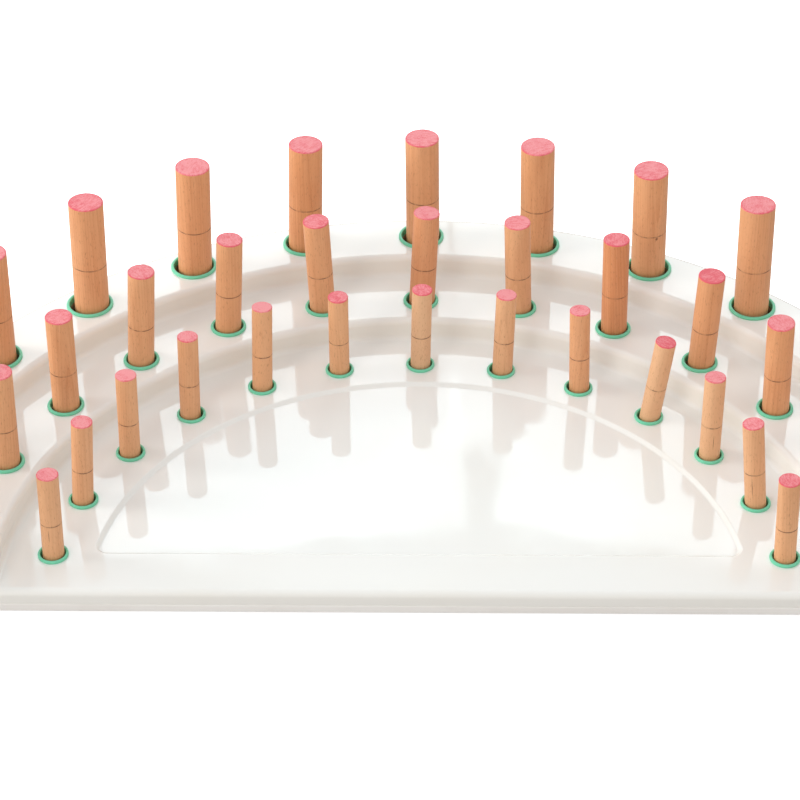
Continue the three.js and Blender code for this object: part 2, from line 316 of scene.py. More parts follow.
def build_effects() -> None:
    """Builds the effects that more than one finish shares."""
    smudge = Effect("handling_smudges", {"Vector": None, "Size": 0.05, "Amount": 0.5}, "Mask")
    graph, source = smudge.graph, smudge.source
    shrink = graph.math("DIVIDE", 1.0, source["Size"])
    scaled = graph.add("VectorMath", {0: source["Vector"], 3: shrink}, operation="SCALE").outputs[0]
    broad = graph.noise(scaled, 1.0, 4.0, 0.6)
    fine = graph.noise(scaled, 6.0, 3.0, 0.7)
    patchy = graph.math("MULTIPLY", graph.span(broad, 0.45, 0.75), graph.span(fine, 0.3, 0.8))
    smudge.give(graph.math("MULTIPLY", patchy, source["Amount"], clamp=True))

    dust = Effect("settled_dust", {"Vector": None, "Amount": 0.5}, "Mask")
    graph, source = dust.graph, dust.source
    upward = graph.add("SeparateXYZ", {0: graph.add("NewGeometry").outputs["Normal"]}).outputs["Z"]
    specks = graph.add("TexVoronoi", {"Vector": source["Vector"], "Scale": 900.0}, feature="F1")
    film = graph.noise(source["Vector"], 24.0, 5.0, 0.65)
    speck_mask = graph.span(specks.outputs["Distance"], 0.16, 0.05)
    speck_mask = graph.math("MULTIPLY", speck_mask, graph.span(film, 0.5, 0.7))
    cover = graph.math("ADD", speck_mask, graph.math("MULTIPLY", graph.span(film, 0.35, 0.8), 0.35))
    lying = graph.math("MULTIPLY", cover, graph.span(upward, 0.2, 0.9))
    dust.give(graph.math("MULTIPLY", lying, source["Amount"], clamp=True))

    skin = Effect("moulded_skin", {"Vector": None, "Ripple": 0.5, "Peel": 0.5}, "Height")
    graph, source = skin.graph, skin.source
    ripple = graph.math("MULTIPLY", graph.noise(source["Vector"], 14.0, 1.0, 0.4), source["Ripple"])
    peel = graph.math("MULTIPLY", graph.noise(source["Vector"], 420.0, 2.0, 0.5), source["Peel"])
    skin.give(graph.math("ADD", ripple, peel))


def new_material(name: str) -> tuple[bpy.types.Material, Graph, bpy.types.Node]:
    """Makes an empty node material.

    Returns:
        The material, its graph and its Principled shader, linked to the output.
    """
    material = bpy.data.materials.new(name)
    material.use_nodes = True
    material.node_tree.nodes.clear()
    graph = Graph(material.node_tree)
    shader = graph.add("BsdfPrincipled")
    graph.add("OutputMaterial", {"Surface": shader.outputs[0]})
    return material, graph, shader


# ---- finishes --------------------------------------------------------------------------------------


@dataclass(frozen=True)
class GlossWhite:
    """Glossy white moulded plastic, with faint ripples, smudges and a little dust."""

    colour: Colour = (0.885, 0.885, 0.86)
    aged: Colour = (0.875, 0.865, 0.825)
    dusty: Colour = (0.62, 0.58, 0.53)
    roughness: float = 0.035
    smudged: float = 0.16
    refraction: float = 1.55

    def material(self) -> bpy.types.Material:
        """Builds the material."""
        material, graph, shader = new_material("gloss_white")
        place = graph.add("TexCoord").outputs["Object"]
        smudges = Effect.place(graph, "handling_smudges", {"Vector": place, "Size": 0.07, "Amount": 0.8})
        dust = Effect.place(graph, "settled_dust", {"Vector": place, "Amount": 0.5})
        patches = graph.span(graph.noise(place, 7.0, 3.0), 0.4, 0.75)
        body = graph.mix(patches, self.colour, self.aged)
        body = graph.mix(graph.math("MULTIPLY", dust, 0.1), body, self.dusty)
        rough = graph.math("MULTIPLY_ADD", smudges, self.smudged, self.roughness)
        rough = graph.math("MULTIPLY_ADD", dust, 0.2, rough, clamp=True)
        skin = Effect.place(graph, "moulded_skin", {"Vector": place, "Ripple": 1.0, "Peel": 0.006})
        graph.finish(shader, body, rough, skin, strength=0.3, distance=0.8 * MM)
        shader.inputs["IOR"].default_value = self.refraction
        return material


@dataclass(frozen=True)
class SatinEdge:
    """Off-white satin paint on the base board."""

    colour: Colour = (0.93, 0.925, 0.915)
    shade: Colour = (0.885, 0.87, 0.85)
    scuffed: Colour = (0.6, 0.55, 0.5)
    roughness: float = 0.34

    def material(self) -> bpy.types.Material:
        """Builds the material."""
        material, graph, shader = new_material("satin_edge")
        place = graph.add("TexCoord").outputs["Object"]
        brushed = graph.noise(graph.stretch(place, (30.0, 30.0, 400.0)), 1.0, 4.0, 0.6)
        patches = graph.noise(place, 11.0, 4.0, 0.6)
        scuffs = Effect.place(graph, "handling_smudges", {"Vector": place, "Size": 0.03, "Amount": 0.6})
        body = graph.mix(graph.span(patches, 0.35, 0.75), self.colour, self.shade)
        body = graph.mix(graph.math("MULTIPLY", scuffs, 0.25), body, self.scuffed)
        rough = graph.math("MULTIPLY_ADD", brushed, 0.18, self.roughness, clamp=True)
        graph.finish(shader, body, rough, brushed, strength=0.2, distance=0.3 * MM)
        return material


@dataclass(frozen=True)
class SoftRubber:
    """Satin rubber or soft plastic, with fine pitting, paler rubbed patches and dust."""

    name: str
    colour: Colour
    rubbed: Colour
    roughness: float = 0.42
    dusty: Colour = (0.6, 0.57, 0.52)

    def material(self) -> bpy.types.Material:
        """Builds the material."""
        material, graph, shader = new_material(self.name)
        place = graph.add("TexCoord").outputs["Object"]
        rubs = Effect.place(graph, "handling_smudges", {"Vector": place, "Size": 0.012, "Amount": 1.0})
        dust = Effect.place(graph, "settled_dust", {"Vector": place, "Amount": 0.6})
        pits = graph.noise(place, 1400.0, 3.0, 0.6)
        body = graph.mix(rubs, self.colour, self.rubbed)
        body = graph.mix(graph.math("MULTIPLY", dust, 0.15), body, self.dusty)
        rough = graph.math("MULTIPLY_ADD", pits, 0.12, self.roughness)
        rough = graph.math("MULTIPLY_ADD", rubs, 0.2, rough, clamp=True)
        graph.finish(shader, body, rough, pits, strength=0.25, distance=0.2 * MM)
        return material


@dataclass(frozen=True)
class Beech:
    """Sanded bare beech with a scored brown line, and thin pink paint on the upper end.

    The pegs carry five vectors at each point. timber is the place in the tree, in metres, from the middle
    of the trunk. gauge is the share of the radius, the height over the scored line and the depth below
    the upper end, the last two in millimetres. blemish is the place across and along a crack or knot, in
    its own half sizes, and which side of the peg it is on. tone is the peg's own depth of colour, its
    redness and its paleness, each from 0 to 1. coat is the depth of its pink paint, the same on each axis.
    """

    light: Colour = (0.78, 0.395, 0.19)
    deep: Colour = (0.595, 0.23, 0.085)
    red: Colour = (0.65, 0.225, 0.10)
    bleached: Colour = (0.74, 0.475, 0.285)
    fleck: Colour = (0.36, 0.15, 0.065)
    pink: Colour = (0.86, 0.30, 0.32)
    # The deep pink stands both for paint that soaked in deeper and for painted shade along the rounded rim.
    pink_deep_and_rim_shade: Colour = (0.76, 0.115, 0.15)
    score: Colour = (0.15, 0.05, 0.022)
    knot: Colour = (0.22, 0.09, 0.04)
    roughness: float = 0.46

    def material(self) -> bpy.types.Material:
        """Builds the material."""
        material, graph, shader = new_material("beech_pink_end")
        timber = graph.add("Attribute", attribute_name="timber").outputs["Vector"]
        gauge, blemish, tone, coat = (
            graph.add("SeparateXYZ", {0: graph.add("Attribute", attribute_name=name).outputs["Vector"]}).outputs
            for name in ("gauge", "blemish", "tone", "coat")
        )
        wood, relief = self._grain(graph, timber, tone)
        hurt = self._blemish(graph, timber, blemish)
        wood = graph.mix(hurt, wood, self.knot)
        line = self._line(graph, timber, gauge)
        wood = graph.mix(line, wood, self.score)
        paint = self._paint(graph, timber, gauge)
        colour = graph.mix(paint, wood, self._pink(graph, timber, gauge, coat))
        rough = graph.math("MULTIPLY_ADD", relief, 0.14, self.roughness)
        rough = graph.math("MULTIPLY_ADD", paint, 0.1, rough, clamp=True)
        dents = graph.math("MAXIMUM", graph.math("MULTIPLY", line, 1.2), hurt)
        height = graph.math("SUBTRACT", relief, dents)
        graph.finish(shader, colour, rough, height, strength=0.3, distance=0.2 * MM)
        return material

    def _grain(
        self, graph: Graph, timber: Any, tone: Any
    ) -> tuple[bpy.types.NodeSocket, bpy.types.NodeSocket]:
        """Returns the wood's colour, from growth rings, rays and streaks, and its relief."""
        sway = {"Scale": 150.0, "Distortion": 1.6, "Detail": 2.0, "Detail Scale": 0.5, "Detail Roughness": 0.5}
        sway["Vector"] = graph.stretch(timber, (1.0, 1.0, 0.12))
        rings = graph.add("TexWave", sway, wave_type="RINGS", rings_direction="Z", wave_profile="SAW")
        late = graph.math("POWER", rings.outputs["Fac"], 3.0)
        streaks = graph.noise(graph.stretch(timber, (400.0, 400.0, 11.0)), 1.0, 4.0, 0.65)
        rays = graph.noise(graph.stretch(timber, (1500.0, 1500.0, 260.0)), 1.0, 2.0, 0.5)
        cloud = graph.noise(graph.stretch(timber, (70.0, 70.0, 22.0)), 1.0, 2.0)
        shade = graph.math("MULTIPLY", late, 0.42)
        shade = graph.math("ADD", shade, graph.span(streaks, 0.3, 0.75, 0.0, 0.45))
        shade = graph.math("ADD", shade, graph.span(cloud, 0.35, 0.7, 0.0, 0.25))
        shade = graph.math("ADD", shade, graph.math("SUBTRACT", tone["X"], 0.5), clamp=True)
        wood = graph.mix(shade, self.light, self.deep)
        wood = graph.mix(graph.math("MULTIPLY", tone["Y"], 0.8), wood, self.red)
        wood = graph.mix(graph.math("MULTIPLY", tone["Z"], 0.8), wood, self.bleached)
        wood = graph.mix(graph.span(rays, 0.58, 0.74, 0.0, 0.5), wood, self.fleck)
        relief = graph.math("MULTIPLY_ADD", rays, 0.4, graph.math("MULTIPLY", streaks, 0.6))
        return wood, relief

    def _blemish(self, graph: Graph, timber: Any, blemish: Any) -> bpy.types.NodeSocket:
        """Returns the mask of a crack or knot, with a ragged edge."""
        across = graph.math("POWER", blemish["X"], 2.0)
        away = graph.math("SQRT", graph.math("MULTIPLY_ADD", blemish["Y"], blemish["Y"], across))
        wander = graph.math("MULTIPLY_ADD", graph.noise(timber, 900.0, 2.0), 0.5, -0.25)
        ragged = graph.span(graph.math("ADD", away, wander), 1.0, 0.4, 0.0, 0.85)
        return graph.math("MULTIPLY", ragged, graph.span(blemish["Z"], 0.0, 0.1))

    def _line(self, graph: Graph, timber: Any, gauge: Any) -> bpy.types.NodeSocket:
        """Returns the mask of the scored line, uneven and here and there nearly gone."""
        wander = graph.math("MULTIPLY_ADD", graph.noise(timber, 95.0, 2.0), 0.5, -0.25)
        off = graph.math("ABSOLUTE", graph.math("ADD", gauge["Y"], wander))
        core = graph.span(off, 0.46, 0.14)
        strength = graph.span(graph.noise(timber, 210.0, 3.0), 0.38, 0.58, 0.15, 1.0)
        halo = graph.span(off, 1.2, 0.2, 0.0, 0.2)
        return graph.math("MAXIMUM", graph.math("MULTIPLY", core, strength), halo)

    def _paint(self, graph: Graph, timber: Any, gauge: Any) -> bpy.types.NodeSocket:
        """Returns the mask of the pink paint, bled a little over the rim and chipped there."""
        edge = graph.math("MULTIPLY_ADD", graph.noise(timber, 450.0, 4.0, 0.7), 1.5, -0.75)
        bleed = graph.span(graph.math("ADD", gauge["Z"], edge), 1.1, 0.5)
        chips = graph.span(graph.noise(timber, 900.0, 3.0, 0.7), 0.64, 0.70)
        rim = graph.span(gauge["X"], 0.9, 0.99)
        kept = graph.math("SUBTRACT", 1.0, graph.math("MULTIPLY", chips, rim))
        return graph.math("MULTIPLY", bleed, kept)

    def _pink(self, graph: Graph, timber: Any, gauge: Any, coat: Any) -> bpy.types.NodeSocket:
        """Returns the paint's colour: brushed, blotched where the end grain drank it, and darkened towards the
        rim as painted shade of the rounded edge.
        """
        brushed = graph.noise(graph.stretch(timber, (620.0, 200.0, 200.0)), 1.0, 3.0, 0.6)
        pores = graph.noise(timber, 900.0, 3.0, 0.6)
        blotch = graph.noise(timber, 130.0, 2.0, 0.5)
        depth = graph.span(brushed, 0.36, 0.62, 0.0, 0.5)
        depth = graph.math("ADD", depth, graph.span(pores, 0.42, 0.62, 0.0, 0.4))
        depth = graph.math("ADD", depth, graph.span(blotch, 0.4, 0.62, 0.0, 0.3))
        # Painted shade: the paint darkens towards its rim, standing in for the shading of the rounded edge.
        depth = graph.math("ADD", depth, graph.span(gauge["X"], 0.84, 0.97, 0.0, 0.5))
        depth = graph.math("ADD", depth, graph.math("SUBTRACT", coat["X"], 0.75), clamp=True)
        return graph.mix(depth, self.pink, self.pink_deep_and_rim_shade)


@dataclass(frozen=True)
class Plywood:
    """Birch ply of the hidden core, seen down the empty sockets."""

    pale: Colour = (0.60, 0.44, 0.27)
    dark: Colour = (0.36, 0.23, 0.12)
    ply: float = 1.4 * MM

    def material(self) -> bpy.types.Material:
        """Builds the material."""
        material, graph, shader = new_material("plywood")
        place = graph.add("TexCoord").outputs["Object"]
        up = graph.add("SeparateXYZ", {0: place}).outputs["Z"]
        layers = graph.math("PINGPONG", up, self.ply)
        bands = graph.span(graph.math("DIVIDE", layers, self.ply), 0.35, 0.65)
        grain = graph.noise(graph.stretch(place, (60.0, 900.0, 900.0)), 1.0, 4.0, 0.6)
        shade = graph.math("MULTIPLY_ADD", bands, 0.5, graph.math("MULTIPLY", grain, 0.5), clamp=True)
        colour = graph.mix(shade, self.pale, self.dark)
        rough = graph.math("MULTIPLY_ADD", grain, 0.2, 0.6)
        graph.finish(shader, colour, rough, grain, strength=0.3, distance=0.3 * MM)
        return material


@dataclass(frozen=True)
class Zinc:
    """Bright zinc plate with fine turning marks and duller patches."""

    colour: Colour = (0.66, 0.66, 0.65)
    dull: Colour = (0.45, 0.44, 0.42)

    def material(self) -> bpy.types.Material:
        """Builds the material."""
        material, graph, shader = new_material("zinc_plate")
        place = graph.add("TexCoord").outputs["Object"]
        cloud = graph.noise(place, 500.0, 4.0, 0.6)
        marks = graph.noise(graph.stretch(place, (3000.0, 3000.0, 9000.0)), 1.0, 2.0)
        colour = graph.mix(graph.span(cloud, 0.4, 0.7), self.colour, self.dull)
        rough = graph.math("MULTIPLY_ADD", cloud, 0.25, 0.2)
        graph.finish(shader, colour, rough, marks, strength=0.15, distance=0.1 * MM)
        shader.inputs["Metallic"].default_value = 1.0
        return material


# ---- the board's layout ----------------------------------------------------------------------------


class Row(Enum):
    """The three rows of pegs, by their node names."""

    SMALL = "small"
    MEDIUM = "medium"
    LARGE = "large"


@dataclass(frozen=True)
class RowSize:
    """Sizes of one row, in metres.

    inward is how far the row stands from the middle of its tier, play is the gap between a centred peg
    and its grommet, and lip is the width of the grommet's ring.
    """

    inward: float
    peg_radius: float
    peg_length: float
    play: float
    lip: float

    @property
    def hole(self) -> float:
        """Radius of the grommet's opening."""
        return self.peg_radius + self.play


ROW_SIZES = {
    Row.SMALL: RowSize(8.5 * MM, 8.3 * MM, 88.5 * MM, 1.3 * MM, 2.1 * MM),
    Row.MEDIUM: RowSize(5.5 * MM, 10.8 * MM, 102.5 * MM, 1.4 * MM, 2.6 * MM),
    Row.LARGE: RowSize(0.0, 14.3 * MM, 117.0 * MM, 2.5 * MM, 2.6 * MM),
}


@dataclass(frozen=True)
class Socket:
    """One peg and the hole it stands in."""

    name: str
    number: int
    axis: Vector
    foot: Vector
    hole: Vector


@dataclass
class RowPlan:
    """Places of one row's holes and pegs. The pitch is the radius of the arc that the holes lie on."""

    row: Row
    pitch: float
    centre_y: float
    end_angle: float
    grommet_height: float = 2.1 * MM
    sockets: list[Socket] = field(default_factory=list)

    def __post_init__(self) -> None:
        """Works out the holes and reads the pegs' lean and place from the frame."""
        self.size = ROW_SIZES[self.row]
        self.tier_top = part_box(f"{self.row.value}_grommets")[1].z - self.grommet_height
        axes = {joint["child"]: Vector(joint["axis"]).normalized() for joint in frame["joints"]}
        names = sorted(name for name in axes if name.startswith(f"{self.row.value}_peg_"))
        spread = (math.pi - 2.0 * self.end_angle) / (len(names) - 1)
        for number, name in enumerate(names, start=1):
            angle = math.pi - self.end_angle - (number - 1) * spread
            low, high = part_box(name)
            foot = (low + high) / 2.0 - axes[name] * self.size.peg_length / 2.0
            across, along = self.pitch * math.cos(angle), self.centre_y + self.pitch * math.sin(angle)
            self.sockets.append(Socket(name, number, axes[name], foot, Vector((across, along, self.tier_top))))


@dataclass
class BoardPlan:
    """Plan and levels of the board. Radii run from the centre of the arcs, widths from the rim inwards."""

    outer_width: float = 62.0 * MM
    middle_width: float = 67.0 * MM
    lower_width: float = 59.0 * MM
    end_angle: float = math.radians(6.66)
    recess_shrink: float = 10.5 * MM
    recess_back: float = 6.0 * MM
    recess_front: float = 36.0 * MM
    wall: float = 2.5 * MM
    seat: float = 0.05 * MM
    edge_round: float = 5.5 * MM
    plan_corner: float = 8.0 * MM
    arc_steps: int = 180
    corner_steps: int = 8

    def __post_init__(self) -> None:
        """Reads the overall sizes from the frame."""
        base_low, base_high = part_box("base_board")
        self.rim = base_high.x
        self.centre_y = base_high.y - self.rim
        self.setback = self.centre_y - base_low.y
        self.tray_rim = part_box("tray_shell")[1].x
        self.base_levels = (base_low.z, base_high.z)
        self.tray_bottom = base_high.z + self.seat
        outer = self.rim - self.outer_width
        middle = outer - self.middle_width
        edges = [middle - self.lower_width, middle, outer, self.rim]
        self.recess_radius = edges[0] - self.recess_shrink
        self.tier_radii = [0.0, middle, outer]
        self.rows: dict[Row, RowPlan] = {}
        for tier, row in enumerate(Row):
            pitch = (edges[tier] + edges[tier + 1]) / 2.0 - ROW_SIZES[row].inward
            self.rows[row] = RowPlan(row, pitch, self.centre_y, self.end_angle)
        self.tier_tops = [self.rows[row].tier_top for row in Row]

    def outline(self, radius: float, inner: float, inset: float) -> tuple[np.ndarray, np.ndarray]:
        """Lays out the D-shaped board, or its outer ring, pulled in by an inset.

        Args:
            radius: Radius of the rounded back.
            inner: Radius of the ring's inner edge, or 0 for the whole board.
            inset: How far inside that outline the points lie. Negative is outside it.

        Returns:
            The points anticlockwise, and at each point how much it belongs to the inner edge, from 0 to 1.
        """
        shoulder = radius - self.setback
        corner = self.setback - inset
        parts = [
            arc((0.0, 0.0), radius - inset, 0.0, math.pi, self.arc_steps),
            arc((-shoulder, 0.0), corner, math.pi, 1.5 * math.pi, self.corner_steps)[1:],
        ]
        shares = [np.zeros(len(part)) for part in parts]
        if inner > 0.0:
            turn_y = -self.setback + self.plan_corner
            turn_x = math.sqrt((inner + self.plan_corner) ** 2 - turn_y ** 2)
            tilt = math.atan2(turn_y, turn_x)
            fade = np.linspace(0.0, 1.0, self.corner_steps + 1)
            small = self.plan_corner - inset
            parts += [
                arc((-turn_x, turn_y), small, 1.5 * math.pi, 2.0 * math.pi - tilt, self.corner_steps),
                arc((0.0, 0.0), inner + inset, math.pi - tilt, tilt, self.arc_steps)[1:-1],
                arc((turn_x, turn_y), small, math.pi + tilt, 1.5 * math.pi, self.corner_steps),
            ]
            shares += [fade, np.ones(self.arc_steps - 1), fade[::-1]]
        parts.append(arc((shoulder, 0.0), corner, -0.5 * math.pi, 0.0, self.corner_steps)[:-1])
        shares.append(np.zeros(self.corner_steps))
        points = np.concatenate(parts)
        points[:, 1] += self.centre_y
        return points, np.concatenate(shares)

    def slab(
        self, name: str, radius: float, inner: float, inset: float, bottom: float, top: float
    ) -> bpy.types.Object:
        """Raises a square-edged slab on the board's outline."""
        points, _ = self.outline(radius, inner, inset)
        loops = np.stack([np.column_stack([points, np.full(len(points), z)]) for z in (bottom, top)])
        return loft(name, loops)

    def recess(self, corner: float, grow: float) -> np.ndarray:
        """Lays out the half-moon recess, grown outwards.

        Args:
            corner: Radius of its two corners.
            grow: How far outside that outline the points lie.

        Returns:
            The points anticlockwise.
        """
        radius, back = self.recess_radius, self.recess_back
        y = self.recess_front + corner
        x = math.sqrt((radius - corner) ** 2 - (y - back) ** 2)
        tangent = math.atan2(y - back, x)
        points = np.concatenate([
            arc((0.0, back), radius + grow, tangent, math.pi - tangent, self.arc_steps),
            arc((-x, y), corner + grow, math.pi - tangent, 1.5 * math.pi, self.corner_steps)[1:],
            arc((x, y), corner + grow, -0.5 * math.pi, tangent, self.corner_steps)[:-1],
        ])
        points[:, 1] += self.centre_y
        return points


# ---- sub-assemblies --------------------------------------------------------------------------------


@dataclass
class Tray:
    """The one-piece glossy tray: three steps, a front strip and a shallow half-moon recess."""

    plan: BoardPlan
    cove: float = 5.0 * MM
    recess_depth: float = 2.5 * MM
    recess_slope: float = 4.4 * MM
    recess_corner: float = 8.0 * MM
    hole_margin: float = 1.25 * MM
    round_steps: int = 8

    def _step(self, tier: int) -> bpy.types.Object:
        """Builds one step as a solid from the skirt up, with a rounded edge and a hollow at its foot."""
        plan = self.plan
        inner, top, edge = plan.tier_radii[tier], plan.tier_tops[tier], plan.edge_round
        turn = np.linspace(0.0, 0.5 * math.pi, self.round_steps + 1)
        levels: list[tuple[float, float]] = [(0.0, plan.tray_bottom)]
        if tier > 0:
            floor = plan.tier_tops[tier - 1]
            levels = [(-self.cove, plan.tray_bottom)]
            levels += [(-self.cove * (1 - math.sin(a)), floor + self.cove * (1 - math.cos(a))) for a in turn]
        levels += [(edge * (1 - math.cos(a)), top - edge * (1 - math.sin(a))) for a in turn]
        base, _ = plan.outline(plan.tray_rim, inner, 0.0)
        loops = []
        for inset, height in levels:
            moved, share = plan.outline(plan.tray_rim, inner, inset)
            if inset < 0.0:
                moved = base + (moved - base) * share[:, None]
                moved[:, 1] = np.maximum(moved[:, 1], base[:, 1].min())
            loops.append(np.column_stack([moved, np.full(len(moved), height)]))
        return loft(f"step_{tier}", np.stack(loops))

    def _recess(self) -> bpy.types.Object:
        """Builds the recess as a cutter whose wall eases from the rim to the floor."""
        top = self.plan.tier_tops[0]
        levels = []
        for share in np.linspace(1.0, 0.0, 2 * self.round_steps + 1):
            fall = 0.5 * (1.0 - math.cos(math.pi * share))
            levels.append((self.recess_slope * (0.5 - share), top - self.recess_depth * fall))
        levels.append((self.recess_slope / 2.0, top + self.recess_depth))
        loops = []
        for grow, height in levels:
            points = self.plan.recess(self.recess_corner, grow)
            loops.append(np.column_stack([points, np.full(len(points), height)]))
        return loft("recess_cutter", np.stack(loops))

    def _hollow(self) -> bpy.types.Object:
        """Builds the open underside as a cutter, a wall inside the outer shape."""
        plan = self.plan
        rim, wall, below = plan.tray_rim, plan.wall, plan.tray_bottom - plan.wall
        whole = plan.slab("hollow", rim, 0.0, wall, below, plan.tier_tops[0] - wall - self.recess_depth)
        for tier in (0, 1, 2):
            inner = plan.tier_radii[tier] if tier else plan.recess_radius + plan.recess_shrink
            ring = plan.slab("hollow_ring", rim, inner, wall, below, plan.tier_tops[tier] - wall)
            carve(whole, ring, "UNION")
        return whole

    def build(self, material: bpy.types.Material) -> bpy.types.Object:
        """Builds the tray, its holes a margin wider than the grommets' openings, and puts it on the board."""
        tray = self._step(0)
        for tier in (1, 2):
            carve(tray, self._step(tier), "UNION")
        carve(tray, self._recess(), "DIFFERENCE")
        carve(tray, self._hollow(), "DIFFERENCE")
        cutters = []
        for plan in self.plan.rows.values():
            radius = plan.size.hole + self.hole_margin
            profile = [(radius, -3.0 * self.plan.wall), (radius, self.plan.wall)]
            cutters += [turned("hole_cutter", profile, 64, socket.hole) for socket in plan.sockets]
        carve(tray, joined("hole_cutters", cutters), "DIFFERENCE")
        tray.name = "tray"
        polish(tray)
        place_on(tray, material, "tray_shell")
        return tray


@dataclass
class Base:
    """The base board, with a soft nose round its edge."""

    plan: BoardPlan
    nose: float = 1.8 * MM
    steps: int = 6

    def build(self, material: bpy.types.Material) -> bpy.types.Object:
        """Builds the base board and puts it under the tray."""
        bottom, top = self.plan.base_levels
        turn = np.linspace(0.0, 0.5 * math.pi, self.steps + 1)
        lower = self.nose * 0.5
        levels = [(lower * (1 - math.sin(a)), bottom + lower * (1 - math.cos(a))) for a in turn]
        levels += [(self.nose * (1 - math.cos(a)), top - self.nose * (1 - math.sin(a))) for a in turn]
        loops = []
        for inset, height in levels:
            points, _ = self.plan.outline(self.plan.rim, 0.0, inset)
            loops.append(np.column_stack([points, np.full(len(points), height)]))
        board = loft("base", np.stack(loops))
        polish(board)
        place_on(board, material, "base_board")
        return board


@dataclass
class Grommets:
    """Soft rings that line the holes of one row. The two rounds are shares of the lip's width."""

    plan: RowPlan
    neck: float = 1.1 * MM
    neck_depth: float = 3.6 * MM
    seat: float = 0.02 * MM
    foot_cut: float = 0.3 * MM
    swell: float = 0.45 * MM
    outer_round: float = 0.55
    inner_round: float = 0.42
    sides: int = 72
    steps: int = 6

    def _profile(self) -> list[tuple[float, float]]:
        """Lays out the ring's section, anticlockwise from the bottom of the neck."""
        hole, crown = self.plan.size.hole, self.plan.grommet_height + self.swell
        lip = self.plan.size.lip
        outer = hole + lip
        neck = hole + self.neck
        section = [(hole, -self.neck_depth), (neck, -self.neck_depth), (neck, self.seat)]
        section += [(outer - self.foot_cut, self.seat), (outer, self.foot_cut)]
        turn = np.linspace(0.0, 0.5 * math.pi, self.steps + 1)
        for edge, curve, angles in (
            (outer, -self.outer_round * lip, turn),
            (hole, self.inner_round * lip, turn[::-1]),
        ):
            section += [
                (edge + curve * (1 - math.cos(angle)), crown - abs(curve) * (1 - math.sin(angle)))
                for angle in angles
            ]
        return section

    def build(self, material: bpy.types.Material) -> list[bpy.types.Object]:
        """Builds the rings and sets each in its hole."""
        rings = []
        for socket in self.plan.sockets:
            name = f"{self.plan.row.value}_grommet_{socket.number:02d}"
            ring = turned(name, self._profile(), self.sides, socket.hole, ring=True)
            polish(ring)
            place_on(ring, material, f"{self.plan.row.value}_grommets")
            rings.append(ring)
        return rings


@dataclass(frozen=True)
class Mark:
    """A crack or a knot on a peg.

    turn is its angle round the peg, in degrees from the right towards the back. rise is its height over
    the scored line, and width and length are its half sizes, all in millimetres.
    """

    turn: float
    rise: float
    width: float
    length: float


NO_MARK = Mark(0.0, 500.0, 1.0, 1.0)


